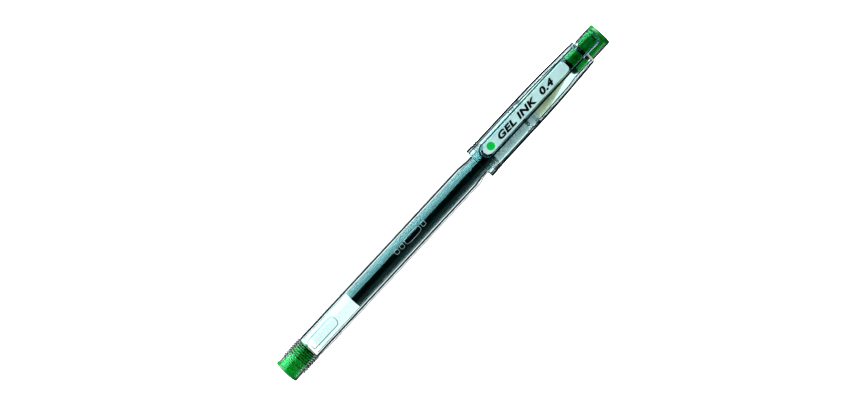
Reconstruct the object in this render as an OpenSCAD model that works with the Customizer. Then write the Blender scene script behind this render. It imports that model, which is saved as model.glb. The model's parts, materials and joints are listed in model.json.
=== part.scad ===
// Capped gel pen with a needle point: a clear barrel with a refill inside, and a clear cap with a clip.
// The pen lies along X, tail end at -X, clip up. Its axis is axis_h above the lowest line of the cap.
// Every station is a distance from the tail end, in millimetres.

/* [Pen] */
// Length with the cap on
pen_length = 140; // [139:0.5:142]
// Outer diameter of the barrel
barrel_d = 8.75; // [8.7:0.05:8.9]
// Bore of the barrel behind the neck
barrel_bore_d = 7.2; // [7.1:0.05:7.3]
// Height of the posting ribs at the tail
posting_rib_h = 0.3; // [0.1:0.05:0.4]
// Number of posting ribs at the tail
posting_ribs = 8; // [4:1:8]

/* [Cap] */
// Length of the cap with its green end
cap_length = 53.8; // [53.6:0.1:54.2]
// Diameter of the band at the mouth of the cap
cap_d = 11; // [10.9:0.05:11.2]
// Bore at the mouth of the cap
cap_bore_d = 9; // [8.9:0.05:9.1]
// Diameter of the narrow tube at the end of the cap
cap_end_d = 7.8; // [7.7:0.05:7.9]
// Diameter of the inner cap where it sits in that tube
inner_cap_d = 6.8; // [6.6:0.05:6.85]

/* [Clip] */
// Length of the clip with its root
clip_length = 50.5; // [50:0.1:51]
// Width of the clip
clip_w = 5.2; // [5:0.1:5.4]
// Thickness of the clip
clip_t = 1.6; // [1.5:0.05:1.7]
// Gap between the clip and the band at the mouth
clip_gap = 0.35; // [0.3:0.05:0.5]
// Width of the label set into the clip
label_w = 3.5; // [3.4:0.1:4]

/* [Grip] */
// Number of fine ribs on the grip under the cap
grip_ribs = 15; // [8:1:15]
// Outer diameter of the plain front of the barrel
grip_d = 7.9; // [7.8:0.05:8]

/* [Refill] */
// Outer diameter of the refill tube
refill_d = 6.3; // [6.2:0.02:6.32]
// Bore of the refill tube
refill_bore_d = 4.9; // [4.8:0.05:5]
// Distance from the tail to the rear end of the ink
ink_start = 30; // [28:0.5:60]
// Diameter of the float in the follower grease
float_d = 2.6; // [2:0.1:3]

/* [Point] */
// Outer diameter of the needle
needle_d = 0.7; // [0.6:0.02:0.74]
// Length of needle that shows in front of the nose cone
needle_length = 4.2; // [4:0.1:4.3]
// Diameter of the writing ball
ball_d = 0.4; // [0.34:0.02:0.42]

/* [Hidden] */
$fn = 96;

fit = 0.02;          // radial gap of parts that are pushed together
running = 0.05;      // radial gap of parts that turn or slide
axis_h = cap_d / 2;  // the pen's axis above the lowest line of the cap
seam_turn = 11.25;   // turns the seams of round pieces away from the lowest line

// Tail end
flange_t = 1;
flange_d = 8.1;
plug_end = 9.95;
rib_pitch = 0.8;
rings_start = 3.3;
ribs_start = 5.3;
barrel_full = 13.5;

// Front of the barrel
cap_mouth = pen_length - cap_length;
neck_start = cap_mouth - 3.7;
neck_end = cap_mouth - 1.9;
neck_d = 7.6;
grip_start = cap_mouth + 4.8;
bead_at = cap_mouth + 18.3;
bead_d = 8.4;
shoulder = cap_mouth + 22.8;
spigot_d = 6.4;
spigot_length = 4;
front_bore_d = refill_d + 2 * running;
front_wall = 0.5;
spigot_bore_d = 5.3;

// Nose cone
nose_d = 7.6;
nose_straight = shoulder + 4.5;
nose_tip_d = 2;
nose_tip = shoulder + 16.5;
nose_wall = 0.6;
nose_bulge = 1.15;   // exponent of the cone's slightly domed side

// Cap
band_end = cap_mouth + 2.1;
cap_ring_pitch = 0.8;
cap_rings = 3;
cap_ring_depth = 0.22;
body_d = 10.6;
second_rings = cap_mouth + 21.1;
taper_start = cap_mouth + 22.2;
collar_d = 9;
collar_end = cap_mouth + 46.6;
tube_end = pen_length - 1.6;
inner_cap_start = tube_end - 12.7;
inner_cap_bore_d = 5;
seal_start = inner_cap_start + 4.4;
seal_length = 2.4;
cap_flange_d = 7.86;

// Clip
clip_start = cap_mouth + 2;
clip_end = clip_start + clip_length;
clip_bottom = cap_d / 2 + clip_gap;
clip_pivot = clip_end - 11.2;
clip_r = clip_w / 2;
knuckle_r = clip_t / 2;
pedestal_w = 3.2;
label_t = 0.12;
label_start = clip_start + 1.5;
label_end = label_start + 36;
dot_at = clip_start + 4.3;
dot_d = 2.6;

// Refill
refill_start = 11.1;
refill_end = shoulder - 1.5;
holder_plug = 4.5;
holder_flange_d = 6.2;
holder_flange_t = 1;
holder_d = 5;
holder_front = shoulder + 11.5;
holder_tip_d = 2.4;
channel_d = 1.6;
ink_end = refill_end - holder_plug;
grease_start = 13;
float_start = 11.3;
float_end = 22.3;

// Point
needle_base_start = holder_front - 2.5;
needle_base_end = holder_front + 3;
needle_start = holder_front - 1.5;
needle_end = nose_tip + needle_length;
needle_bore_d = ball_d;
ball_at = needle_end + 0.05;

// A solid of revolution about the pen's axis, from points of radius and station
module turned(points) {
    translate([-pen_length / 2, 0, axis_h])
        rotate([0, 90, 0])
            rotate([0, 0, seam_turn])
                rotate_extrude()
                    polygon(points);
}

// A plain tube or rod about the pen's axis
module tube(start, end, outer_d, bore_d = 0) {
    turned([[bore_d / 2, start], [outer_d / 2, start], [outer_d / 2, end], [bore_d / 2, end]]);
}

// Points of annular ribs with sloped sides, for an outline that runs towards the cap end
function ribs(start, pitch, count, root_r, crest_r) = [
    for (i = [0 : count - 1])
        for (p = [[root_r, 0.1], [crest_r, 0.3], [crest_r, 0.65], [root_r, 0.85]])
            [p[0], start + (i + p[1]) * pitch]
];

// Radius of the nose cone's outside, u from 0 at its straight part to 1 at its tip
function nose_r(u) = (nose_tip_d + (nose_d - nose_tip_d) * (1 - pow(u, nose_bulge))) / 2;

function nose_side(wall) = [
    for (i = [0 : 10])
        let (u = i / 10)
            [max(nose_r(u) - wall, needle_d / 2 + 2 * running),
             nose_straight + u * (nose_tip - nose_straight)]
];

// A flat bar on the clip's line, with a half-round end at "start"
module bar(start, end, width, bottom, top) {
    r = width / 2;
    translate([-pen_length / 2, 0, axis_h + bottom])
        linear_extrude(height = top - bottom)
            union() {
                translate([start + r, 0]) circle(r);
                translate([start + r, -r]) square([end - start - r, width]);
            }
}

// A round bar across the pen, at a station and a height above its axis
module cross_rod(station, height, r, length) {
    translate([station - pen_length / 2, length / 2, axis_h + height])
        rotate([90, 0, 0])
            cylinder(r = r, h = length);
}

module barrel() {
    tail_r = barrel_d / 2 - 0.4;
    ring_r = barrel_d / 2 - 0.01;
    rib_root = barrel_d / 2 - posting_rib_h;
    grip_r = grip_d / 2;
    color("azure", 0.35)
        turned(concat(
            [[barrel_bore_d / 2, flange_t], [tail_r, flange_t], [tail_r, rings_start]],
            [[ring_r, rings_start + 0.15], [ring_r, rings_start + 0.7], [tail_r, rings_start + 0.85]],
            [[tail_r, rings_start + 1.1], [ring_r, rings_start + 1.25], [ring_r, rings_start + 1.7]],
            [[rib_root, rings_start + 1.85]],
            ribs(ribs_start, rib_pitch, posting_ribs, rib_root, ring_r),
            [[rib_root, ribs_start + posting_ribs * rib_pitch], [barrel_d / 2, barrel_full]],
            [[barrel_d / 2, neck_start], [neck_d / 2, neck_end], [neck_d / 2, grip_start - 1]],
            [[grip_r, grip_start]],
            ribs(grip_start, rib_pitch, grip_ribs, grip_r, grip_r + 0.15),
            [[grip_r, bead_at], [bead_d / 2, bead_at + 0.3], [bead_d / 2, bead_at + 0.7]],
            [[grip_r, bead_at + 1], [grip_r, shoulder], [spigot_d / 2, shoulder]],
            [[spigot_d / 2, shoulder + spigot_length], [spigot_bore_d / 2, shoulder + spigot_length]],
            [[spigot_bore_d / 2, shoulder - front_wall], [front_bore_d / 2, shoulder - front_wall]],
            [[front_bore_d / 2, neck_end - 0.3], [barrel_bore_d / 2, neck_start - 1.5]]
        ));
}

module tail_plug() {
    body_d = barrel_bore_d - 2 * fit;
    nub_d = 0.9;
    color("seagreen")
        union() {
            turned([
                [0, 0], [flange_d / 2 - 0.3, 0], [flange_d / 2, 0.3], [flange_d / 2, flange_t],
                [body_d / 2, flange_t], [body_d / 2, plug_end - 1.1], [body_d / 2 - 0.3, plug_end - 0.9],
                [body_d / 2 - 0.3, plug_end - 0.5], [body_d / 2, plug_end - 0.3], [body_d / 2, plug_end],
                [0, plug_end]
            ]);
            translate([plug_end - pen_length / 2 - 0.5, 1, axis_h])
                rotate([0, 90, 0])
                    cylinder(d = nub_d, h = 1.3);
        }
}

module nose_cone() {
    bore_r = spigot_d / 2 + running;
    inner = nose_side(nose_wall);
    color("beige", 0.5)
        turned(concat(
            [[bore_r, shoulder + running], [nose_d / 2, shoulder + running]],
            nose_side(0),
            [for (i = [len(inner) - 1 : -1 : 0]) inner[i]],
            [[bore_r, nose_straight - 0.3]]
        ));
}

module cap_outside() {
    band_r = cap_d / 2;
    body_r = body_d / 2;
    rings = cap_rings * cap_ring_pitch;
    turned(concat(
        [[0, cap_mouth], [band_r - 0.25, cap_mouth], [band_r, cap_mouth + 0.25], [band_r, band_end]],
        ribs(band_end, cap_ring_pitch, cap_rings, band_r - cap_ring_depth, band_r),
        [[body_r, band_end + rings], [body_r, second_rings]],
        ribs(second_rings, 0.5, 2, body_r - 0.1, body_r + 0.08),
        [[body_r, taper_start], [body_r - 0.11, taper_start + 8.6], [body_r - 0.49, taper_start + 17]],
        [[collar_d / 2 + 0.06, collar_end - 2.2], [collar_d / 2, collar_end - 2.1]],
        [[collar_d / 2, collar_end], [cap_end_d / 2, collar_end], [cap_end_d / 2, tube_end], [0, tube_end]]
    ));
}

module cap_bore() {
    seat_r = inner_cap_d / 2 + fit;
    turned([
        [0, cap_mouth - 1], [cap_bore_d / 2 + 0.3, cap_mouth - 1], [cap_bore_d / 2 + 0.3, cap_mouth],
        [cap_bore_d / 2, cap_mouth + 0.4], [cap_bore_d / 2, bead_at + 2], [nose_d / 2 + 0.35, shoulder],
        [nose_d / 2, inner_cap_start - 0.8], [seat_r, inner_cap_start], [seat_r, tube_end + 1],
        [0, tube_end + 1]
    ]);
}

module cap_shell() {
    top = clip_bottom + clip_t;
    pedestal_start = clip_pivot + 1.2;
    pedestal_end = clip_end - 1.6;
    color("azure", 0.35)
        difference() {
            union() {
                cap_outside();
                translate([clip_end - pen_length / 2, 0, 0])
                    mirror([1, 0, 0])
                        translate([pen_length / 2, 0, 0])
                            bar(0, clip_end - clip_pivot, clip_w, clip_bottom, top);
                translate([pedestal_start - pen_length / 2, -pedestal_w / 2, axis_h])
                    cube([pedestal_end - pedestal_start, pedestal_w, clip_bottom + 0.1]);
            }
            cap_bore();
            cross_rod(clip_pivot, clip_bottom + knuckle_r, knuckle_r + running, clip_w + 2);
        }
}

module inner_cap() {
    body_r = inner_cap_d / 2;
    flange_r = cap_flange_d / 2;
    seat = seal_start + seal_length;
    color("seagreen")
        turned([
            [0, pen_length], [flange_r - 0.3, pen_length], [flange_r, pen_length - 0.3],
            [flange_r, tube_end], [body_r, tube_end], [body_r, inner_cap_start + 0.2],
            [body_r - 0.2, inner_cap_start], [inner_cap_bore_d / 2, inner_cap_start],
            [inner_cap_bore_d / 2, seat], [0, seat]
        ]);
}

module needle_seal() {
    color("darkslategray") tube(seal_start, seal_start + seal_length, inner_cap_bore_d - 2 * fit);
}

module clip() {
    top = clip_bottom + clip_t;
    nub_r = 0.8;
    nub_drop = clip_gap - running;
    color("azure", 0.35)
        union() {
            difference() {
                bar(clip_start, clip_pivot, clip_w, clip_bottom, top);
                label_outline(0.03, top - label_t, top + 1);
            }
            cross_rod(clip_pivot, clip_bottom + knuckle_r, knuckle_r, clip_w);
            cross_rod(clip_start + 1.6, clip_bottom + nub_r - nub_drop, nub_r, 2);
        }
}

module label_outline(margin, bottom, top) {
    square_end = label_end - 1.2;
    step_w = label_w - 1.4;
    bar(label_start - margin, square_end + margin, label_w + 2 * margin, bottom, top);
    translate([square_end - pen_length / 2, -step_w / 2 - margin, axis_h + bottom])
        cube([label_end - square_end + margin, step_w + 2 * margin, top - bottom]);
}

module dot_disc(d, bottom, top) {
    translate([dot_at - pen_length / 2, 0, axis_h + bottom])
        cylinder(d = d, h = top - bottom);
}

module clip_label() {
    top = clip_bottom + clip_t;
    color("powderblue")
        difference() {
            label_outline(0, top - label_t, top - 0.02);
            dot_disc(dot_d + 2 * fit, top - label_t - 1, top + 1);
        }
}

module colour_dot() {
    top = clip_bottom + clip_t;
    color("seagreen") dot_disc(dot_d, top - label_t, top);
}

module refill_tube() {
    color("azure", 0.35) tube(refill_start, refill_end, refill_d, refill_bore_d);
}

module ink_column() {
    color("darkgreen") tube(ink_start, ink_end, refill_bore_d - 2 * fit);
}

module follower_grease() {
    grease_d = refill_bore_d - 2 * running;
    color("azure", 0.35)
        turned([
            [float_d / 2, grease_start], [grease_d / 2, grease_start], [grease_d / 2, ink_start],
            [0, ink_start], [0, float_end], [float_d / 2, float_end - float_d / 4]
        ]);
}

module follower_float() {
    color("ghostwhite", 0.6)
        turned([
            [0, float_start], [float_d / 2, float_start],
            [float_d / 2, float_end - float_d / 4], [0, float_end]
        ]);
}

module tip_holder() {
    plug_r = refill_bore_d / 2 - fit;
    channel_r = channel_d / 2;
    color("gainsboro", 0.6)
        turned([
            [channel_r, refill_end - holder_plug], [plug_r, refill_end - holder_plug],
            [plug_r, refill_end], [holder_flange_d / 2, refill_end],
            [holder_flange_d / 2, refill_end + holder_flange_t],
            [holder_d / 2, refill_end + holder_flange_t], [holder_d / 2, nose_straight],
            [holder_tip_d / 2, holder_front], [channel_r, holder_front]
        ]);
}

module needle_base() {
    color("silver") tube(needle_base_start, needle_base_end, channel_d, needle_d + 2 * fit);
}

module needle_tube() {
    wall_start = ball_at - ball_d;
    color("silver")
        turned([
            [needle_bore_d / 2 - 0.06, needle_start], [needle_d / 2, needle_start],
            [needle_d / 2, needle_end - 0.3], [needle_d / 2 - 0.08, needle_end],
            [ball_d / 2 + 0.03, needle_end], [ball_d / 2 + 0.03, wall_start],
            [needle_bore_d / 2 - 0.06, wall_start - 0.1]
        ]);
}

module writing_ball() {
    color("dimgray")
        translate([ball_at - pen_length / 2, 0, axis_h])
            sphere(d = ball_d);
}

barrel();
tail_plug();
nose_cone();
cap_shell();
inner_cap();
needle_seal();
clip();
clip_label();
colour_dot();
refill_tube();
ink_column();
follower_grease();
follower_float();
tip_holder();
needle_base();
needle_tube();
writing_ball();
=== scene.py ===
import json
import math

import bmesh
import bpy
from mathutils import Matrix, Vector


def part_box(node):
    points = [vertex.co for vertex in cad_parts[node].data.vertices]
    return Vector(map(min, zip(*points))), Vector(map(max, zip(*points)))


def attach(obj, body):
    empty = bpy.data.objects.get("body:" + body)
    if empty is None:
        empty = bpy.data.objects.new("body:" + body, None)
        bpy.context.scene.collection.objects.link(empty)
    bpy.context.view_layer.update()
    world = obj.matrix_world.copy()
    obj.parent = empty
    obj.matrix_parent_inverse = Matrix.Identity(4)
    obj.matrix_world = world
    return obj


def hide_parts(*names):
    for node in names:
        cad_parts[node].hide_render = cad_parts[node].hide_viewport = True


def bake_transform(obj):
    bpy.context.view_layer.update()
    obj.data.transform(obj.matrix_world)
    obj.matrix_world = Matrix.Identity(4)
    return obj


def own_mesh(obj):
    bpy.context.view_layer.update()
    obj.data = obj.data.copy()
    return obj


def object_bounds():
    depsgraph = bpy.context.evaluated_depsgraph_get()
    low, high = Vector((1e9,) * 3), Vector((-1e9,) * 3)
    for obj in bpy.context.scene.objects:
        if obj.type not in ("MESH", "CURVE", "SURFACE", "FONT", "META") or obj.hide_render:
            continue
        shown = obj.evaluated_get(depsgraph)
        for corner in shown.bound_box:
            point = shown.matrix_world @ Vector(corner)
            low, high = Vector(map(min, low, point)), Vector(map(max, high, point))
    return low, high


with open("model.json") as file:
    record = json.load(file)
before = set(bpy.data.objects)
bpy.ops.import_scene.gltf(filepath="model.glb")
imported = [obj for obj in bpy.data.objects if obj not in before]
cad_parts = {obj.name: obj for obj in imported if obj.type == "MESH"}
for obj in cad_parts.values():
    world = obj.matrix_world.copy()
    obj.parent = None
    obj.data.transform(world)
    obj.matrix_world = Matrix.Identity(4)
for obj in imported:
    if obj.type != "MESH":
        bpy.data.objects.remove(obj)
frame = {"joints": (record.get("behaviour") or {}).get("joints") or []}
cad_low, cad_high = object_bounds()

# ---------------------------------------------------------------- the pen's own measures, in millimetres
# A station is a distance from the tail end along the pen. A height is above the pen's axis.
MM = 0.001
TAIL = cad_low.x
PEN = (cad_high.x - cad_low.x) / MM
BARREL_LOW, BARREL_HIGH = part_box("barrel")
AXIS = (BARREL_LOW.z + BARREL_HIGH.z) / 2


def station(x):
    """The station of a place on the frame's X axis."""
    return (x - TAIL) / MM


def span(node):
    """The stations where a CAD node starts and ends."""
    low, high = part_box(node)
    return station(low.x), station(high.x)


def radius(node):
    """Half the width of a CAD node across the pen."""
    low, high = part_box(node)
    return (high.y - low.y) / 2 / MM


def height(z):
    """The height above the pen's axis of a place on the frame's Z axis."""
    return (z - AXIS) / MM


def place(s, y=0.0, h=0.0):
    """The point in the frame at a station, a sideways offset and a height."""
    return Vector((TAIL + s * MM, y * MM, AXIS + h * MM))


RIB_START = 5.3     # station of the first posting rib at the tail
RIB_PITCH = 0.8
RIB_CREST = 0.475   # place of a rib's crest, as a share of the pitch
EDGE = 0.77         # rounding of the clip's long edges
TURN = 112          # faces round a turned piece
CORNER_STEPS = 5    # faces round a rounded corner
PLAN_STEPS = 10     # faces round a quarter of a bar's round end

BARREL_R = radius("barrel")
CAP_MOUTH, CAP_TUBE_END = span("cap_shell")
CAP_R = (cad_high.y - cad_low.y) / 2 / MM
PLUG_FLANGE_R = radius("tail_plug")
BORE_R = PLUG_FLANGE_R - 0.45
SHOULDER = span("nose_cone")[0]
NOSE_TIP = span("nose_cone")[1]
NECK = CAP_MOUTH - 3.7
CLIP_START = span("clip")[0]
CLIP_TOP = height(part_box("clip")[1].z)
CLIP_BOTTOM = CLIP_TOP - 1.6
CLIP_W = radius("clip") * 2
LABEL_W = radius("clip_label") * 2
PIVOT = Vector(next(j for j in frame["joints"] if j["name"] == "clip_flex")["pos_m"])
CLIP_END = station(PIVOT.x) + 11.2
ROOT_SEAM = CLIP_END - 8.1     # where the bending bar meets the part moulded onto the cap


# ---------------------------------------------------------------- shapes
def finish_mesh(name, bm, materials, smooth=True):
    """The object that a bmesh in millimetres becomes, with outward faces and even shading."""
    bmesh.ops.remove_doubles(bm, verts=bm.verts, dist=1e-5)
    bmesh.ops.recalc_face_normals(bm, faces=bm.faces)
    bmesh.ops.scale(bm, vec=(MM, MM, MM), verts=bm.verts)
    bmesh.ops.translate(bm, vec=(TAIL, 0, AXIS), verts=bm.verts)
    mesh = bpy.data.meshes.new(name)
    bm.to_mesh(mesh)
    bm.free()
    for m in materials:
        mesh.materials.append(m)
    for p in mesh.polygons:
        p.use_smooth = smooth
    obj = bpy.data.objects.new(name, mesh)
    bpy.context.scene.collection.objects.link(obj)
    if smooth:
        even = obj.modifiers.new("even_shading", "WEIGHTED_NORMAL")
        even.weight = 80
    return obj


def material_after(point):
    """The index of the material that starts at an outline's point."""
    return point[3] if len(point) > 3 else 0


def round_corners(points, closed):
    """An outline of (station, radius, fillet[, material]) with each corner turned into a small arc."""
    out = []
    n = len(points)
    for i, point in enumerate(points):
        s, r, fillet = point[:3]
        if fillet <= 0 or (not closed and i in (0, n - 1)):
            out.append((s, r, material_after(point)))
            continue
        here = Vector((s, r))
        before = Vector(points[i - 1][:2]) - here
        after = Vector(points[(i + 1) % n][:2]) - here
        cut = min(fillet, before.length * 0.48, after.length * 0.48)
        a = here + before.normalized() * cut
        b = here + after.normalized() * cut
        for k in range(CORNER_STEPS + 1):
            t = k / CORNER_STEPS
            p = a * (1 - t) ** 2 + here * 2 * t * (1 - t) + b * t ** 2
            out.append((p.x, p.y, material_after(points[i - 1] if t < 0.5 else point)))
    return out


def turned(name, points, materials, closed=True):
    """A solid of revolution about the pen's axis from an outline of (station, radius, fillet[, material])."""
    outline = round_corners(points, closed)
    bm = bmesh.new()
    rings = []
    for s, r, _ in outline:
        ring = []
        for k in range(TURN):
            a = 2 * math.pi * k / TURN
            ring.append(bm.verts.new((s, r * math.sin(a), r * math.cos(a))))
        rings.append(ring)
    for i in range(len(rings) if closed else len(rings) - 1):
        a, b = rings[i], rings[(i + 1) % len(rings)]
        for k in range(TURN):
            after = (k + 1) % TURN
            face = bm.faces.new((a[k], a[after], b[after], b[k]))
            face.material_index = outline[i][2]
    bmesh.ops.remove_doubles(bm, verts=bm.verts, dist=1e-5)
    bmesh.ops.dissolve_degenerate(bm, edges=bm.edges, dist=1e-6)
    return finish_mesh(name, bm, materials)


def ribs(start, pitch, count, root, crest, index=0):
    """Outline points of round-topped annular ribs."""
    out = []
    for i in range(count):
        s = start + i * pitch
        out += [
            (s + 0.08 * pitch, root, 0.04, index),
            (s + 0.30 * pitch, crest, 0.08, index),
            (s + 0.65 * pitch, crest, 0.08, index),
            (s + 0.87 * pitch, root, 0.04, index),
        ]
    return out


def groove(start, length, slope, radius_out, depth, index):
    """Outline points of an annular groove whose two sides each lean by a slope."""
    floor_r = radius_out - depth
    return [
        (start, radius_out, 0.03, index),
        (start + slope, floor_r, 0.03, index),
        (start + length - slope, floor_r, 0.03, index),
        (start + length, radius_out, 0.03, index),
    ]


def plan_ring(start, end, half_w, nose_r, tail_r, z, inset, steps):
    """A closed outline in plan, inset by some distance, as two sides that mirror each other.

    An end has round corners, or with a radius of 0 it is a flat cut, which isn't inset.
    """
    side = []
    for k in range(PLAN_STEPS + 1):
        t = k / PLAN_STEPS
        a = math.pi / 2 * t
        back = (nose_r - inset) * math.cos(a) if nose_r else 0.0
        out = half_w - nose_r + (nose_r - inset) * math.sin(a) if nose_r else (half_w - inset) * t
        side.append((start + nose_r - back, out))
    for k in range(1, steps):
        t = k / steps
        side.append((start + nose_r + (end - tail_r - start - nose_r) * t, half_w - inset))
    for k in range(PLAN_STEPS + 1):
        t = k / PLAN_STEPS
        a = math.pi / 2 * t
        on = (tail_r - inset) * math.sin(a) if tail_r else 0.0
        out = half_w - tail_r + (tail_r - inset) * math.cos(a) if tail_r else (half_w - inset) * (1 - t)
        side.append((end - tail_r + on, out))
    return [(s, y, z) for s, y in side], [(s, -y, z) for s, y in side]


def lofted_bar(name, rings, materials):
    """A bar from the bottom ring to the top ring, closed above and below by faces from side to side."""
    bm = bmesh.new()
    made = []
    for left, right in rings:
        made.append(([bm.verts.new(p) for p in left], [bm.verts.new(p) for p in right]))
    for (la, ra), (lb, rb) in zip(made, made[1:]):
        for k in range(len(la) - 1):
            bm.faces.new((la[k], la[k + 1], lb[k + 1], lb[k]))
            bm.faces.new((ra[k], rb[k], rb[k + 1], ra[k + 1]))
        bm.faces.new((la[0], lb[0], rb[0], ra[0]))
        bm.faces.new((la[-1], ra[-1], rb[-1], lb[-1]))
    for l, r in (made[0], made[-1]):
        for k in range(len(l) - 1):
            bm.faces.new((l[k], l[k + 1], r[k + 1], r[k]))
    return finish_mesh(name, bm, materials)


def bar_rings(start, end, width, bottom, top, edge, nose_r, tail_r, steps):
    """Rings of a bar with rounded edges above and below."""
    half_w = width / 2
    nose_r, tail_r = (min(r, half_w - 0.001) for r in (nose_r, tail_r))
    arc = [math.pi / 2 * k / CORNER_STEPS for k in range(CORNER_STEPS + 1)]
    lower = [(bottom + edge * (1 - math.sin(a)), edge * (1 - math.cos(a))) for a in reversed(arc)]
    upper = [(top - edge * (1 - math.sin(a)), edge * (1 - math.cos(a))) for a in arc]
    return [plan_ring(start, end, half_w, nose_r, tail_r, z, inset, steps) for z, inset in lower + upper]


# ---------------------------------------------------------------- materials
def nodes_of(name):
    """A new material with its node tree and its main shader."""
    mat = bpy.data.materials.new(name)
    mat.use_nodes = True
    tree = mat.node_tree
    return mat, tree, tree.nodes["Principled BSDF"]


def noise(tree, scale, stretch=(1, 1, 1), detail=3.0, rough=0.5):
    """Noise in the piece's own space, at a scale per metre."""
    coords = tree.nodes.new("ShaderNodeTexCoord")
    mapping = tree.nodes.new("ShaderNodeMapping")
    mapping.inputs["Scale"].default_value = stretch
    tex = tree.nodes.new("ShaderNodeTexNoise")
    tex.inputs["Scale"].default_value = scale
    tex.inputs["Detail"].default_value = detail
    tex.inputs["Roughness"].default_value = rough
    tree.links.new(coords.outputs["Object"], mapping.inputs["Vector"])
    tree.links.new(mapping.outputs["Vector"], tex.inputs["Vector"])
    return tex.outputs["Fac"]


def ramp(tree, value, stops):
    """A colour ramp over a value; stops are (position, colour)."""
    node = tree.nodes.new("ShaderNodeValToRGB")
    elements = node.color_ramp.elements
    elements.remove(elements[1])
    elements[0].position = stops[0][0]
    elements[0].color = (*stops[0][1], 1)
    for position, colour in stops[1:]:
        elements.new(position).color = (*colour, 1)
    tree.links.new(value, node.inputs["Fac"])
    return node.outputs["Color"]


def spread(tree, value, low, high, start=0.0, end=1.0):
    """A value mapped to a range."""
    node = tree.nodes.new("ShaderNodeMapRange")
    node.inputs["From Min"].default_value = start
    node.inputs["From Max"].default_value = end
    node.inputs["To Min"].default_value = low
    node.inputs["To Max"].default_value = high
    tree.links.new(value, node.inputs["Value"])
    return node.outputs["Result"]


def mixed(tree, a, b, factor):
    """Two colours mixed; each may be a socket or a colour."""
    node = tree.nodes.new("ShaderNodeMix")
    node.data_type = "RGBA"
    for socket, value in ((node.inputs[6], a), (node.inputs[7], b), (node.inputs[0], factor)):
        if isinstance(value, bpy.types.NodeSocket):
            tree.links.new(value, socket)
        elif isinstance(value, tuple):
            socket.default_value = (*value, 1)
        else:
            socket.default_value = value
    return node.outputs[2]


def bump(tree, shader, value, depth):
    """Fine relief of a depth in metres."""
    node = tree.nodes.new("ShaderNodeBump")
    node.inputs["Strength"].default_value = 1.0
    node.inputs["Distance"].default_value = depth
    tree.links.new(value, node.inputs["Height"])
    tree.links.new(node.outputs["Normal"], shader.inputs["Normal"])


def facing(tree):
    """A value that goes from 0 where a face is seen square on to 1 where it is seen edge on."""
    node = tree.nodes.new("ShaderNodeLayerWeight")
    node.inputs["Blend"].default_value = 0.5
    return node.outputs["Facing"]


def painted_ring_shade(tree, pitch):
    """A value that goes from 0 on the crest of each moulded ring to 1 between two rings, where the tint is
    darkened as painted shade.
    """
    split = tree.nodes.new("ShaderNodeSeparateXYZ")
    tree.links.new(tree.nodes.new("ShaderNodeTexCoord").outputs["Object"], split.inputs["Vector"])
    wave = tree.nodes.new("ShaderNodeMath")
    wave.operation = "SINE"
    crest, rings = TAIL + (RIB_START + RIB_CREST * pitch) * MM, 1000
    trough, whole = -math.pi / 2, 2 * math.pi * rings
    turns = spread(tree, split.outputs["X"], trough, trough + whole, crest, crest + rings * pitch * MM)
    tree.links.new(turns, wave.inputs[0])
    return spread(tree, wave.outputs["Value"], 0.0, 1.0, -0.2, 1.0)


def clear_plastic(
    name, tint, painted_edge_shade=None, dark=(0.0, 0.006, 0.008), rough=(0.0, 0.004), ior=1.5, veil=None,
    inside=False, rest=0.0, clarity=1.0, ring_shade_pitch=None,
):
    """Polished clear moulding with faint flow lines and rubbed patches.

    veil is the colour of its reflections where the face is seen square on, green-blue if it isn't given.
    The edge-shade setting holds the facings where a painted dark edge starts, is full, fades and ends:
    painted shade, the dark colour with no light let through where a clear wall is seen edge on, in place of
    the dark surroundings it would show there. The edge shows on light that meets the face from outside the
    plastic, or from inside it for a bore, and rest is how much of it is left past its end. A clarity under 1
    is the frosted look of a ribbed grip.
    The ring-shade pitch is the pitch in millimetres of moulded rings; between their crests the tint is
    painted nearly black as painted shade.
    """
    mat, tree, shader = nodes_of(name)
    flow = noise(tree, 90, (0.25, 1, 1), detail=2)
    colour = mixed(tree, tint, tuple(c * 0.96 for c in tint), flow)
    if ring_shade_pitch is not None:
        # Painted shade: the tint darkened almost to black between the ring crests.
        colour = mixed(tree, colour, tuple(c * 0.04 for c in tint), painted_ring_shade(tree, ring_shade_pitch))
    if painted_edge_shade is not None:
        a, b, c, d = painted_edge_shade
        stops = [(a, (0, 0, 0)), (b, (1, 1, 1))]
        if c < 1:
            stops += [(c, (1, 1, 1)), (d, (rest, rest, rest))]
        behind = tree.nodes.new("ShaderNodeNewGeometry").outputs["Backfacing"]
        if not inside:
            behind = spread(tree, behind, 1.0, 0.0)
        # Painted shade: where the clear wall is seen edge on, its colour turns dark and it lets no light
        # through, in place of the dark surroundings seen in it.
        line = mixed(tree, (0, 0, 0), ramp(tree, facing(tree), stops), behind)
        colour = mixed(tree, colour, dark, line)
        tree.links.new(spread(tree, line, 1.0, 0.0), shader.inputs["Transmission Weight"])
    tree.links.new(colour, shader.inputs["Base Color"])
    rubbed = noise(tree, 400, (0.2, 1, 1), detail=4, rough=0.65)
    tree.links.new(spread(tree, rubbed, rough[0], rough[1], 0.45, 0.8), shader.inputs["Roughness"])
    shader.inputs["Transmission Weight"].default_value = clarity
    shader.inputs["IOR"].default_value = ior
    shader.inputs["Specular Tint"].default_value = (*(veil or MIRROR_TINT), 1)
    return mat


def see_through(name, colour):
    """A face inside a clear piece where another material touches it, so that light passes straight on."""
    mat = bpy.data.materials.new(name)
    mat.use_nodes = True
    tree = mat.node_tree
    tree.nodes.clear()
    out = tree.nodes.new("ShaderNodeOutputMaterial")
    clear = tree.nodes.new("ShaderNodeBsdfTransparent")
    clear.inputs["Color"].default_value = (*colour, 1)
    tree.links.new(clear.outputs["BSDF"], out.inputs["Surface"])
    return mat


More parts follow.
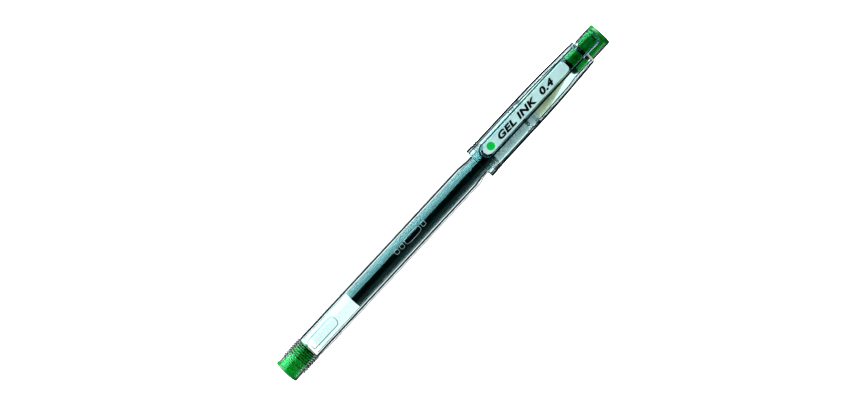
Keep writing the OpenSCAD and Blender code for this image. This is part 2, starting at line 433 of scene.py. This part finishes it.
def moulded(name, colour, dark, rough=(0.16, 0.32), coat=0.3, grain=700, depth=3e-6, specular=0.5):
    """Opaque moulded plastic: a little colour variation, fine orange peel and rubbed patches."""
    mat, tree, shader = nodes_of(name)
    broad = noise(tree, 160, (0.5, 1, 1), detail=4)
    tone = mixed(tree, dark, colour, spread(tree, broad, 0, 1, 0.3, 0.62))
    tree.links.new(tone, shader.inputs["Base Color"])
    fine = noise(tree, grain, detail=5, rough=0.6)
    tree.links.new(spread(tree, fine, rough[0], rough[1], 0.3, 0.75), shader.inputs["Roughness"])
    bump(tree, shader, fine, depth)
    shader.inputs["Coat Weight"].default_value = coat
    shader.inputs["Coat Roughness"].default_value = 0.06
    shader.inputs["Specular IOR Level"].default_value = specular
    return mat


def ink_material():
    """Dark gel: nearly black with green-blue streaks where it wets the wall."""
    mat, tree, shader = nodes_of("gel_ink")
    streaks = noise(tree, 500, (0.05, 1, 1), detail=3)
    colour = ramp(tree, streaks, [
        (0.3, (0.0, 0.012, 0.012)), (0.6, (0.001, 0.03, 0.03)), (0.85, (0.004, 0.06, 0.06)),
    ])
    tree.links.new(colour, shader.inputs["Base Color"])
    tree.links.new(spread(tree, streaks, 0.04, 0.1), shader.inputs["Roughness"])
    bump(tree, shader, streaks, 4e-7)
    shader.inputs["Specular IOR Level"].default_value = 0.25
    return mat


def steel_material(name, colour, rough):
    """Drawn steel with fine lines along the pen."""
    mat, tree, shader = nodes_of(name)
    lines = noise(tree, 6000, (0.03, 1, 1), detail=4)
    tree.links.new(mixed(tree, colour, tuple(c * 0.75 for c in colour), lines), shader.inputs["Base Color"])
    tree.links.new(spread(tree, lines, rough * 0.7, rough * 1.5), shader.inputs["Roughness"])
    bump(tree, shader, lines, 8e-7)
    shader.inputs["Metallic"].default_value = 1.0
    return mat


def label_material():
    """Pale blue film with a satin face and the faint mottling of a print."""
    mat, tree, shader = nodes_of("label_film")
    mottle = noise(tree, 420, (0.6, 1, 1), detail=5, rough=0.6)
    colour = ramp(tree, mottle, [
        (0.3, (0.26, 0.40, 0.41)), (0.5, (0.31, 0.46, 0.46)), (0.7, (0.36, 0.51, 0.51)),
    ])
    tree.links.new(colour, shader.inputs["Base Color"])
    tree.links.new(spread(tree, mottle, 0.3, 0.45), shader.inputs["Roughness"])
    bump(tree, shader, noise(tree, 3000, detail=2), 1.5e-6)
    shader.inputs["Specular IOR Level"].default_value = 0.25
    return mat


MIRROR_TINT = (0.35, 0.95, 1.0)
GREEN_VEIL = (0.12, 0.85, 0.25)     # reflections of clear walls close over a green piece
CLEAR = (0.94, 0.985, 0.985)
# The edge settings below paint shade: each clear wall turns opaque and dark where it is seen edge on, and the
# clip does so everywhere but its faces seen nearly square on.
BARREL_OUTSIDE = clear_plastic("clear_barrel", CLEAR, painted_edge_shade=(0.6, 0.72, 1.0, 1.0), dark=(0.35, 0.4, 0.4))
# The tail's tint carries painted shade between its rings and at its edges.
BARREL_TAIL = clear_plastic(
    "clear_barrel_tail", CLEAR, painted_edge_shade=(0.5, 0.8, 1.0, 1.0), dark=(0.03, 0.09, 0.08),
    veil=GREEN_VEIL, ring_shade_pitch=RIB_PITCH,
)
BARREL_BORE = clear_plastic("clear_barrel_bore", CLEAR, painted_edge_shade=(0.20, 0.215, 0.295, 0.31), inside=True)
BARREL_GRIP = clear_plastic("clear_barrel_grip", (0.88, 0.99, 0.98), rough=(0.28, 0.4), clarity=0.15)
CAP_OUTSIDE = clear_plastic("clear_cap", (0.72, 0.87, 0.88), painted_edge_shade=(0.47, 0.58, 1.0, 1.0))
CAP_BORE = clear_plastic(
    "clear_cap_bore", (0.82, 0.92, 0.92), painted_edge_shade=(0.22, 0.24, 0.27, 0.285), veil=(0.14, 0.38, 0.4),
    inside=True, rest=0.45,
)
CAP_TUBE = clear_plastic(
    "clear_cap_tube", (0.85, 0.95, 0.93), painted_edge_shade=(0.5, 0.62, 1.0, 1.0), veil=GREEN_VEIL,
)
CAP_FROST = clear_plastic("clear_cap_frosted", (0.95, 0.98, 0.97), rough=(0.3, 0.4), clarity=0.25)
CLIP_CLEAR = clear_plastic("clear_clip", (0.80, 0.92, 0.93), painted_edge_shade=(0.04, 0.09, 1.0, 1.0))
REFILL_OUTSIDE = clear_plastic(
    "clear_refill", CLEAR, painted_edge_shade=(0.55, 0.63, 1.0, 1.0), dark=(0.0, 0.03, 0.035), ior=1.35,
)
REFILL_BORE = see_through("refill_bore", (0.985, 0.998, 0.998))
GREASE = clear_plastic("clear_grease", (0.80, 0.95, 0.95), ior=1.03)
FLOAT = clear_plastic(
    "clear_float", (0.96, 0.995, 0.995), painted_edge_shade=(0.4, 0.6, 1.0, 1.0), dark=(0.05, 0.25, 0.27), ior=1.1,
    veil=(0.4, 0.5, 0.5),
)
GREEN = moulded("green_plastic", (0.006, 0.29, 0.05), (0.003, 0.2, 0.03), coat=0.2)
# Painted light: a brighter copy of the same green, with no coat, for its faces behind clear walls, standing
# in for the light those walls hold back.
GREEN_INSIDE_LIT = moulded(
    "green_plastic_inside_painted_light", (0.004, 0.44, 0.04), (0.002, 0.32, 0.022), coat=0.0, specular=0.1,
)
# Painted shade: near-black green for a groove and recesses of the green mouldings, where shade falls.
GREEN_PAINTED_SHADE = moulded("green_plastic_painted_shade", (0.001, 0.02, 0.006), (0.0, 0.01, 0.003), coat=0.0, specular=0.1)
GREEN_PRINT = moulded(
    "green_print", (0.002, 0.40, 0.07), (0.001, 0.30, 0.05), coat=0.0, depth=1e-6, specular=0.2,
)
MILKY = moulded("milky_plastic", (0.88, 0.88, 0.58), (0.76, 0.78, 0.50), rough=(0.2, 0.35), coat=0.4)
TIP_PLASTIC = moulded("tip_plastic", (0.62, 0.63, 0.58), (0.5, 0.52, 0.47), coat=0.1)
SEAL = moulded(
    "seal_rubber", (0.012, 0.02, 0.02), (0.006, 0.012, 0.012), rough=(0.6, 0.8), coat=0.0, depth=8e-6,
)
PRINT = moulded(
    "legend_print", (0.003, 0.003, 0.004), (0.001, 0.001, 0.002), rough=(0.5, 0.6), coat=0.0, depth=1e-6,
    specular=0.1,
)
STEEL = steel_material("needle_steel", (0.72, 0.71, 0.69), 0.22)
CARBIDE = steel_material("ball_carbide", (0.3, 0.3, 0.31), 0.12)
LABEL = label_material()
MARK = moulded("barrel_mark_print", (0.50, 0.66, 0.66), (0.40, 0.55, 0.55), coat=0.0, depth=1e-6)
INK = ink_material()


# ---------------------------------------------------------------- barrel and what is in it
# Station, half length and half width of each shape of the mark
MARK_SHAPES = [(50.0, 0.7, 0.7), (52.2, 0.7, 0.7), (56.9, 3.2, 1.0), (61.6, 0.7, 0.7)]


def part(obj, body, slot, *nodes):
    """Makes a piece ride with its body and stand for its CAD nodes, which it hides. The slot, the name of its
    finish, is not used.
    """
    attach(obj, body)
    if nodes:
        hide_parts(*nodes)
    return obj


def make_barrel():
    """The clear tube: rings and posting ribs at its tail, neck, ribbed grip, snap bead and spigot."""
    tail_r = BARREL_R - 0.4
    ring_r = BARREL_R - 0.01
    rib_root = BARREL_R - 0.3
    neck_r, grip_r, bead_r, spigot_r = 3.8, 3.95, 4.2, 3.05
    front_bore, refill_bore = 3.2, 2.65
    grip_start = CAP_MOUTH + 4.8
    bead = CAP_MOUTH + 18.3
    spigot_end = SHOULDER + 3.95
    outline = [
        (1.0, BORE_R, 0.1, 2), (1.0, tail_r, 0.15, 2), (3.3, tail_r, 0.08, 2), (3.45, ring_r, 0.12, 2),
        (4.0, ring_r, 0.12, 2), (4.15, tail_r, 0.08, 2), (4.4, tail_r, 0.08, 2), (4.55, ring_r, 0.12, 2),
        (5.0, ring_r, 0.12, 2), (5.15, rib_root, 0.08, 2),
    ]
    outline += ribs(RIB_START, RIB_PITCH, 6, rib_root, ring_r, 2)
    outline += [
        (10.4, rib_root, 0.1), (13.5, BARREL_R, 0.8), (NECK, BARREL_R, 0.8), (CAP_MOUTH - 1.9, neck_r, 0.8),
        (grip_start - 1, neck_r, 0.3), (grip_start, grip_r, 0.2, 3),
    ]
    outline += ribs(grip_start, RIB_PITCH, 15, grip_r, grip_r + 0.15, 3)
    outline += [
        (bead, grip_r, 0.1), (bead + 0.3, bead_r, 0.15), (bead + 0.7, bead_r, 0.15),
        (bead + 1, grip_r, 0.1, 3),
        (SHOULDER - 0.05, grip_r, 0.2), (SHOULDER - 0.05, spigot_r + 0.15, 0.1),
    ]
    outline += ribs(SHOULDER + 0.3, 0.9, 4, spigot_r, spigot_r + 0.15)
    outline += [
        (spigot_end, spigot_r, 0.2), (spigot_end, refill_bore, 0.1, 1), (SHOULDER - 0.5, refill_bore, 0.1, 1),
        (SHOULDER - 0.5, front_bore, 0.1, 1), (CAP_MOUTH - 2.2, front_bore, 0.5, 1),
        (NECK - 1.5, BORE_R, 0.5, 1),
    ]
    return turned("barrel_moulding", outline, [BARREL_OUTSIDE, BARREL_BORE, BARREL_TAIL, BARREL_GRIP])


def make_barrel_mark():
    """A generic raised mark on top of the barrel: small rings and one long bar, drawn as thin outlines."""
    bm = bmesh.new()
    lean, wire, sides, steps = math.radians(-6.5), 0.055, 8, 40
    for centre, half_length, half_width in MARK_SHAPES:
        rings = []
        for k in range(steps):
            a = 2 * math.pi * k / steps
            square = (abs(math.cos(a)) ** 4 + abs(math.sin(a)) ** 4) ** -0.25
            s = centre + half_length * square * math.cos(a)
            turn = lean + half_width * square * math.sin(a) / BARREL_R
            out = Vector((0, math.sin(turn), math.cos(turn)))
            way = Vector((math.cos(a), math.sin(a) * math.cos(turn), -math.sin(a) * math.sin(turn)))
            middle = Vector((s, 0, 0)) + out * (BARREL_R + wire * 0.2)
            rings.append([
                bm.verts.new(middle + (way * math.cos(b) + out * math.sin(b)) * wire)
                for b in (2 * math.pi * j / sides for j in range(sides))
            ])
        for a, b in zip(rings, rings[1:] + rings[:1]):
            for j in range(sides):
                bm.faces.new((a[j], a[(j + 1) % sides], b[(j + 1) % sides], b[j]))
    return finish_mesh("barrel_mark", bm, [MARK])


def make_tail_plug():
    """The green plug with its flange and grooves, and the small moulding nub on its inner end. Its last
    groove is coloured near-black green as painted shade.
    """
    r, ring_r, end = BORE_R - 0.28, BORE_R - 0.02, span("tail_plug")[1] - 0.8
    outline = [(0, 0, 0), (0, PLUG_FLANGE_R, 0.35), (1, PLUG_FLANGE_R, 0.1, 1), (1, r, 0.05, 1)]
    for start in (2.2, 3.4):
        outline += groove(start, 0.36, 0.08, r, 0.12, 1)
    outline += [(4.3, r, 0.05, 1), (4.4, ring_r, 0.05, 1), (5.0, ring_r, 0.05, 1), (5.1, r, 0.05, 1)]
    for start in (6.0, 6.8, 7.6, 8.4):
        outline += groove(start, 0.28, 0.06, r, 0.08, 1)
    # The last groove is painted shade, in near-black green.
    outline += [
        (end - 0.9, r, 0.05, 2), (end - 0.8, r - 0.35, 0.05, 2), (end - 0.45, r - 0.35, 0.05, 2),
        (end - 0.35, r, 0.05, 1), (end, r, 0.15, 1), (end, 0, 0, 1),
    ]
    plug = turned("tail_plug_moulding", outline, [GREEN, GREEN_INSIDE_LIT, GREEN_PAINTED_SHADE], closed=False)
    nub = bmesh.new()
    bmesh.ops.create_uvsphere(nub, u_segments=24, v_segments=16, radius=0.45)
    for v in nub.verts:
        v.co = Vector((v.co.z * 1.9 + end, v.co.x + 1.0, v.co.y))
    return plug, finish_mesh("tail_plug_nub", nub, [GREEN_INSIDE_LIT])


def make_refill():
    """The clear tube of the refill, open at both ends."""
    start, end = span("refill_tube")
    outer, bore = radius("refill_tube"), radius("ink_column") + 0.01
    outline = [(start, bore, 0.1, 1), (start, outer, 0.4), (end, outer, 0.15), (end, bore, 0.1, 1)]
    return turned("refill_wall", outline, [REFILL_OUTSIDE, REFILL_BORE])


def make_ink():
    """The column of ink, flat at its rear end where the grease rests on it."""
    start, end = span("ink_column")
    r = radius("ink_column")
    outline = [(start, 0, 0), (start, r, 0), (end, r, 0.1), (end, 0, 0)]
    return turned("ink_fill", outline, [INK], closed=False)


def make_grease():
    """The clear grease behind the ink."""
    start, end = span("follower_grease")
    r = radius("follower_grease")
    front = end - 0.03
    outline = [(start, 0, 0), (start, r, 0.6), (front, r, 0), (front, 0, 0)]
    return turned("grease_plug", outline, [GREASE], closed=False)


def make_float():
    """The clear rod in the grease, with a round front end."""
    start, end = span("follower_float")
    r = radius("follower_float")
    angles = [math.pi / 2 * k / 8 for k in range(9)]
    nose = [(end - r * (1 - math.sin(a)), r * math.cos(a), 0) for a in angles]
    return turned("float_rod", [(start, 0, 0), (start, r, 0.3)] + nose, [FLOAT], closed=False)


def make_tip_holder():
    """The carrier that plugs the refill's front end, with a collar and a tapering front."""
    start, end = span("tip_holder")
    outline = [
        (start, 0.8, 0.05), (start, 2.43, 0.2), (start + 4.5, 2.43, 0.05), (start + 4.5, 3.1, 0.1),
        (start + 5.5, 3.1, 0.1), (start + 5.5, 2.5, 0.1), (start + 10.5, 2.5, 0.5),
        (end, 1.2, 0.15), (end, 0.8, 0.05),
    ]
    return turned("tip_carrier", outline, [TIP_PLASTIC])


def make_needle():
    """The metal bush, the needle in it and the ball in the needle's end."""
    bush_start, bush_end = span("needle_base")
    start, end = span("needle_tube")
    r = radius("needle_tube")
    bush = turned("needle_bush", [
        (bush_start, 0.37, 0.03), (bush_start, 0.8, 0.05), (bush_end - 0.8, 0.8, 0.1), (bush_end, 0.6, 0.1),
        (bush_end, 0.37, 0.03),
    ], [STEEL])
    pipe = turned("needle_pipe", [
        (start, 0.14, 0.02), (start, r, 0.05), (end - 0.3, r, 0.1), (end, r - 0.08, 0.03), (end, 0.2, 0.02),
    ], [STEEL])
    ball = bmesh.new()
    bmesh.ops.create_icosphere(ball, subdivisions=4, radius=0.2)
    bmesh.ops.translate(ball, vec=(station(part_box("writing_ball")[0].x) + 0.2, 0, 0), verts=ball.verts)
    return bush, pipe, finish_mesh("writing_ball_bead", ball, [CARBIDE])


def make_nose():
    """The milky cone, slightly bulged, with a bore for the spigot and a hole for the needle."""
    straight = SHOULDER + 4.45
    bulge, tip_r, base_r, bore_r, needle_hole_r, wall, last = 1.15, 1.0, 3.8, 3.25, 0.45, 0.6, 12

    def side(depth):
        """Stations and radii at a depth under the cone's outer face, from its base to its tip."""
        shares = [k / last for k in range(last + 1)]
        reach = [(u, tip_r + (base_r - tip_r) * (1 - u ** bulge) - depth) for u in shares]
        return [(straight + (NOSE_TIP - straight) * u, max(r, needle_hole_r)) for u, r in reach]

    outer = [(s, r, 0.25 if k in (0, last) else 0) for k, (s, r) in enumerate(side(0))]
    inner = [(s, r, 0) for s, r in reversed(side(wall))]
    outline = [(SHOULDER, bore_r, 0.1), (SHOULDER, base_r, 0.15)] + outer + inner
    outline.append((straight - 0.3, bore_r, 0.05))
    return turned("nose_cone_moulding", outline, [MILKY])


# ---------------------------------------------------------------- cap and clip
def make_cap():
    """The clear cap: mouth band with fine rings, body, taper, frosted collar and the tube at its end."""
    band = CAP_MOUTH + 2.1
    body_r, collar_r, tube_r = 5.3, 4.5, 3.9
    taper = CAP_MOUTH + 22.2
    collar = CAP_MOUTH + 46.6
    seat, mouth_bore, snap_bore = 3.42, 4.5, 4.38
    inner_start = span("inner_cap")[0]
    outline = [
        (CAP_MOUTH, mouth_bore + 0.3, 0.1, 1), (CAP_MOUTH, CAP_R, 0.35), (band, CAP_R, 0.12),
    ]
    outline += ribs(band, RIB_PITCH, 3, CAP_R - 0.22, CAP_R)
    outline += [(band + 2.45, body_r, 0.1), (taper - 1.1, body_r, 0.1)]
    outline += ribs(taper - 1.1, 0.5, 2, body_r - 0.1, body_r + 0.08)
    outline += [
        (taper, body_r, 0.1), (taper + 8.6, body_r - 0.11, 3), (taper + 17, body_r - 0.49, 3),
        (collar - 2.2, collar_r + 0.1, 0.1), (collar - 2.1, collar_r, 0.05), (collar - 0.7, collar_r, 0.1, 2),
        (collar, collar_r - 0.1, 0.15, 2), (collar, tube_r, 0.1, 3), (CAP_TUBE_END, tube_r, 0.1, 3),
        (CAP_TUBE_END, seat, 0.05, 1),
        (inner_start, seat, 0.1, 1), (inner_start - 3.5, 3.85, 1, 1), (SHOULDER, 4.15, 0.3, 1),
        (CAP_MOUTH + 20.3, mouth_bore, 0.2, 1), (CAP_MOUTH + 19.6, mouth_bore, 0.1, 1),
        (CAP_MOUTH + 19.2, snap_bore, 0.1, 1), (CAP_MOUTH + 17.6, snap_bore, 0.1, 1),
        (CAP_MOUTH + 17.2, mouth_bore, 0.1, 1), (CAP_MOUTH + 0.4, mouth_bore, 0.2, 1),
    ]
    return turned("cap_moulding", outline, [CAP_OUTSIDE, CAP_BORE, CAP_FROST, CAP_TUBE])


def join_solids(body, *others):
    """Merges other closed meshes into a body, so that no wall of them is left inside the clear plastic."""
    for other in others:
        union = body.modifiers.new("union", "BOOLEAN")
        union.operation = "UNION"
        union.solver = "EXACT"
        union.object = other
        while body.modifiers.find("union") > 0:
            body.modifiers.move(body.modifiers.find("union"), 0)
        bpy.context.view_layer.update()
        even = body.modifiers["even_shading"]
        even.show_viewport = False
        bpy.context.view_layer.update()
        mesh = bpy.data.meshes.new_from_object(body.evaluated_get(bpy.context.evaluated_depsgraph_get()))
        even.show_viewport = True
        body.modifiers.remove(union)
        body.data = mesh
        bpy.data.objects.remove(other)


def make_inner_cap():
    """The green end of the cap, with a chamfered cup over the point and a waist behind it, both coloured
    near-black green as painted shade.
    """
    start, end = span("inner_cap")
    r = 3.4
    flange_r = radius("inner_cap")
    seat = start + 6.8
    # The mouth, chamfer and waist are painted shade, in near-black green.
    outline = [
        (start, 2.5, 0.1, 2), (start, 2.75, 0.1, 2), (start + 1.3, r, 0.2, 1), (start + 5.4, r, 0.15, 2),
        (start + 5.5, 2.85, 0.1, 2), (start + 6.7, 2.85, 0.1, 1), (start + 7.2, r, 0.15, 1),
        (CAP_TUBE_END, r, 0.05), (CAP_TUBE_END, flange_r, 0.1), (end, flange_r, 0.35), (end, 0, 0),
    ]
    cup = [(seat, 0, 0, 1), (seat, 2.5, 0.1, 1)]
    return turned("inner_cap_moulding", cup + outline, [GREEN, GREEN_INSIDE_LIT, GREEN_PAINTED_SHADE], closed=False)


def make_seal():
    """The soft pad in the green cup, with a dimple for the point."""
    start, end = span("needle_seal")
    r = radius("needle_seal")
    dimple = [(start + 0.12, 0, 0), (start + 0.1, 0.5, 0.1), (start, 0.9, 0.2)]
    outline = dimple + [(start, r, 0.2), (end, r, 0.1), (end, 0, 0)]
    return turned("needle_seal_pad", outline, [SEAL], closed=False)


def make_clip():
    """The bending bar of the clip, from its round free end to its root."""
    end, top = ROOT_SEAM - 0.01, CLIP_TOP - 0.05
    rings = bar_rings(CLIP_START, end, CLIP_W, CLIP_BOTTOM, top, EDGE, CLIP_W / 2, 0.0, steps=44)
    return lofted_bar("clip_bar", rings, [CLIP_CLEAR])


def make_clip_root():
    """The end of the clip and the foot under it, which are one moulding with the cap."""
    top = CLIP_TOP - 0.05
    end_rings = bar_rings(ROOT_SEAM, CLIP_END, CLIP_W, CLIP_BOTTOM, top, EDGE, 0.0, 1.9, steps=8)
    end = lofted_bar("clip_end", end_rings, [CAP_OUTSIDE])
    foot_start, foot_end, foot_w = station(PIVOT.x) + 0.4, CLIP_END - 1.6, 3.4
    foot_rings = bar_rings(foot_start, foot_end, foot_w, 3.47, CLIP_BOTTOM - 0.01, 0.1, 0.4, 0.8, steps=6)
    foot = lofted_bar("clip_foot", foot_rings, [CAP_OUTSIDE])
    return foot, end


def make_clip_nub():
    """The low bump under the clip's free end that presses on the cap."""
    nub = bmesh.new()
    bmesh.ops.create_uvsphere(nub, u_segments=32, v_segments=16, radius=1.0)
    for v in nub.verts:
        v.co = Vector((v.co.x * 0.9 + CLIP_START + 1.8, v.co.y * 1.2, v.co.z * 0.35 + CLIP_BOTTOM + 0.05))
    return finish_mesh("clip_nub", nub, [CLIP_CLEAR])


def make_label():
    """The pale film on the clip, which lies a hair under the clip's highest line."""
    start, end = span("clip_label")
    bottom, top = CLIP_TOP - 0.07, CLIP_TOP - 0.02
    rings = bar_rings(start, end, LABEL_W, bottom, top, 0.02, LABEL_W / 2, 1.1, steps=30)
    return lofted_bar("clip_label_film", rings, [LABEL])


def make_dot():
    """The thin green dot near the label's round end."""
    low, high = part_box("colour_dot")
    centre, r = station((low.x + high.x) / 2), radius("colour_dot")
    bm = bmesh.new()
    bmesh.ops.create_cone(bm, cap_ends=True, segments=64, radius1=r, radius2=r - 0.02, depth=0.04)
    bmesh.ops.translate(bm, vec=(centre, 0, CLIP_TOP - 0.02), verts=bm.verts)
    return finish_mesh("colour_dot_print", bm, [GREEN_PRINT], smooth=False)


def make_legend():
    """The generic wording on the label, along the clip."""
    curve = bpy.data.curves.new("legend", "FONT")
    curve.body = "GEL INK  0.4"
    curve.size = 2.85 * MM
    curve.shear = 0.22
    curve.space_character = 1.08
    curve.offset = 0.12 * MM
    curve.extrude = 0.012 * MM
    curve.align_y = "CENTER"
    text = bpy.data.objects.new("legend_text", curve)
    bpy.context.scene.collection.objects.link(text)
    bpy.context.view_layer.update()
    mesh = bpy.data.meshes.new_from_object(text.evaluated_get(bpy.context.evaluated_depsgraph_get()))
    bpy.data.objects.remove(text)
    mesh.name = "clip_legend"
    xs = [v.co.x for v in mesh.vertices]
    ys = [v.co.y for v in mesh.vertices]
    start, length = span("clip_label")[0] + 6.2, 23.6
    grow = length * MM / (max(xs) - min(xs))
    mesh.transform(Matrix.Translation((-min(xs), -(max(ys) + min(ys)) / 2, 0)))
    mesh.transform(Matrix.Diagonal((grow, 1, 1, 1)))
    mesh.transform(Matrix.Translation(place(start, 0, CLIP_TOP - 0.005)))
    mesh.materials.clear()
    mesh.materials.append(PRINT)
    obj = bpy.data.objects.new("clip_legend", mesh)
    bpy.context.scene.collection.objects.link(obj)
    return obj


part(make_barrel(), "barrel", "clear_barrel", "barrel")
part(make_barrel_mark(), "barrel", "clear_barrel")
plug, nub = make_tail_plug()
part(plug, "barrel", "green_plastic", "tail_plug")
part(nub, "barrel", "green_plastic")
part(make_refill(), "barrel", "clear_refill", "refill_tube")
part(make_tip_holder(), "barrel", "tip_plastic", "tip_holder")
bush, pipe, ball = make_needle()
part(bush, "barrel", "needle_steel", "needle_base")
part(pipe, "barrel", "needle_steel", "needle_tube")
part(ball, "barrel", "ball_carbide", "writing_ball")
ink = part(make_ink(), "barrel", "gel_ink", "ink_column")
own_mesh(ink)
part(make_grease(), "follower", "clear_grease", "follower_grease")
part(make_float(), "follower", "clear_float", "follower_float")
part(make_nose(), "nose", "milky_plastic", "nose_cone")
cap = make_cap()
for solid in make_clip_root():
    join_solids(cap, solid)
part(cap, "cap", "clear_cap", "cap_shell")
part(make_inner_cap(), "cap", "green_plastic", "inner_cap")
part(make_seal(), "cap", "seal_rubber", "needle_seal")
clip = make_clip()
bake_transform(clip)
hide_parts("clip")
part(make_clip_nub(), "clip", "clear_cap")
part(make_label(), "clip", "label_film", "clip_label")
part(make_dot(), "clip", "green_print", "colour_dot")
part(make_legend(), "clip", "label_film")


# ---------------------------------------------------------------- stage, light and camera
def floor_material():
    """White studio sheet. It shines behind the pen and through clear walls, and is dark in reflections."""
    mat, tree, shader = nodes_of("studio_sheet")
    grain = noise(tree, 30, detail=3)
    sheet = mixed(tree, (0.86, 0.86, 0.86), (0.84, 0.84, 0.84), grain)
    shader.inputs["Roughness"].default_value = 0.9
    shader.inputs["Specular IOR Level"].default_value = 0.1
    shader.inputs["Emission Color"].default_value = (1, 1, 1, 1)
    path = tree.nodes.new("ShaderNodeLightPath")
    tone = mixed(tree, sheet, (0.05, 0.06, 0.06), path.outputs["Is Glossy Ray"])
    tree.links.new(tone, shader.inputs["Base Color"])
    seen = tree.nodes.new("ShaderNodeMath")
    seen.operation = "MAXIMUM"
    tree.links.new(path.outputs["Is Camera Ray"], seen.inputs[0])
    tree.links.new(path.outputs["Is Transmission Ray"], seen.inputs[1])
    tree.links.new(seen.outputs["Value"], shader.inputs["Emission Strength"])
    return mat


def make_floor():
    """A large sheet that the pen rests on with its cap mouth and the rings at its tail."""
    front = Vector((TAIL + (CAP_MOUTH + 0.3) * MM, 0, cad_low.z))
    back = Vector((TAIL + 3.6 * MM, 0, AXIS - (BARREL_R - 0.01) * MM))
    along = (front - back).normalized()
    mesh = bpy.data.meshes.new("floor")
    reach = 6.0
    across = Vector((0, 1, 0))
    drop = Vector((0, 0, -0.00002))
    signs = ((-1, -1), (1, -1), (1, 1), (-1, 1))
    corners = [front + along * a * reach + across * b * reach + drop for a, b in signs]
    mesh.from_pydata(corners, [], [(0, 1, 2, 3)])
    mesh.materials.append(floor_material())
    floor = bpy.data.objects.new("floor", mesh)
    bpy.context.scene.collection.objects.link(floor)


def make_world():
    """A dark studio with a pale horizon, and a pale backdrop for what the camera sees directly."""
    world = bpy.data.worlds.new("studio")
    bpy.context.scene.world = world
    world.use_nodes = True
    tree = world.node_tree
    background = tree.nodes["Background"]
    coords = tree.nodes.new("ShaderNodeTexCoord")
    split = tree.nodes.new("ShaderNodeSeparateXYZ")
    tree.links.new(coords.outputs["Generated"], split.inputs["Vector"])
    sky = ramp(tree, split.outputs["Z"], [
        (0.0, (0.12, 0.14, 0.14)), (0.15, (0.05, 0.055, 0.055)), (0.35, (0.01, 0.011, 0.011)),
    ])
    path = tree.nodes.new("ShaderNodeLightPath")
    seen = mixed(tree, sky, (0.9, 0.91, 0.91), path.outputs["Is Camera Ray"])
    tree.links.new(seen, background.inputs["Color"])


def make_softbox(name, angle, distance, width, length, radiance):
    """A soft light over the pen, at an angle from straight up towards +Y, facing the pen."""
    light = bpy.data.lights.new(name, "AREA")
    light.shape = "RECTANGLE"
    light.size, light.size_y = length, width
    light.energy = radiance * math.pi * width * length
    obj = bpy.data.objects.new(name, light)
    a = math.radians(angle)
    obj.location = Vector((0, math.sin(a), math.cos(a))) * distance
    obj.rotation_euler = (-a, 0, 0)
    bpy.context.scene.collection.objects.link(obj)
    return obj


def fill_matt_only(light, gain):
    """Makes a light stronger for what matt surfaces receive than it looks in glossy ones."""
    light.data.use_nodes = True
    tree = light.data.node_tree
    path = tree.nodes.new("ShaderNodeLightPath")
    emission = tree.nodes["Emission"]
    tree.links.new(spread(tree, path.outputs["Diffuse Depth"], 1.0, gain), emission.inputs["Strength"])


def make_camera():
    """A long lens nearly overhead, with the pen running to the upper right."""
    distance, elevation, tilt = 0.665, math.radians(81.4), math.radians(47.16)
    eye_station = PEN / 2 + 16.3
    view_width, shift_side, shift_top = 0.26056, 0.00376, 0.00061
    middle = place(PEN / 2, 0, 1.0)
    eye = place(eye_station) + Vector((0, -math.cos(elevation), math.sin(elevation))) * distance
    look = (middle - eye).normalized()
    right = (Vector((1, 0, 0)) - look * look.x).normalized()
    up = right.cross(look)
    side, top = math.cos(tilt) * right - math.sin(tilt) * up, math.sin(tilt) * right + math.cos(tilt) * up
    aim = middle - side * shift_side - top * shift_top
    look = (aim - eye).normalized()
    side = (side - look * side.dot(look)).normalized()
    top = side.cross(look)
    data = bpy.data.cameras.new("camera")
    data.lens = data.sensor_width * distance / view_width
    data.clip_start, data.clip_end = 0.01, 50
    camera = bpy.data.objects.new("camera", data)
    camera.matrix_world = Matrix((
        (side.x, top.x, -look.x, eye.x),
        (side.y, top.y, -look.y, eye.y),
        (side.z, top.z, -look.z, eye.z),
        (0, 0, 0, 1),
    ))
    bpy.context.scene.collection.objects.link(camera)
    bpy.context.scene.camera = camera


make_floor()
make_world()
make_softbox("softbox_high", 27, 0.6, 0.33, 1.3, 2.4)
make_softbox("softbox_low", 63, 0.6, 0.44, 1.3, 3.8)
fill_matt_only(make_softbox("side_fill", -60, 0.7, 0.42, 1.3, 0.22), 11.0)
make_camera()
bpy.context.scene.view_settings.view_transform = "Standard"
bpy.context.scene.view_settings.look = "High Contrast"
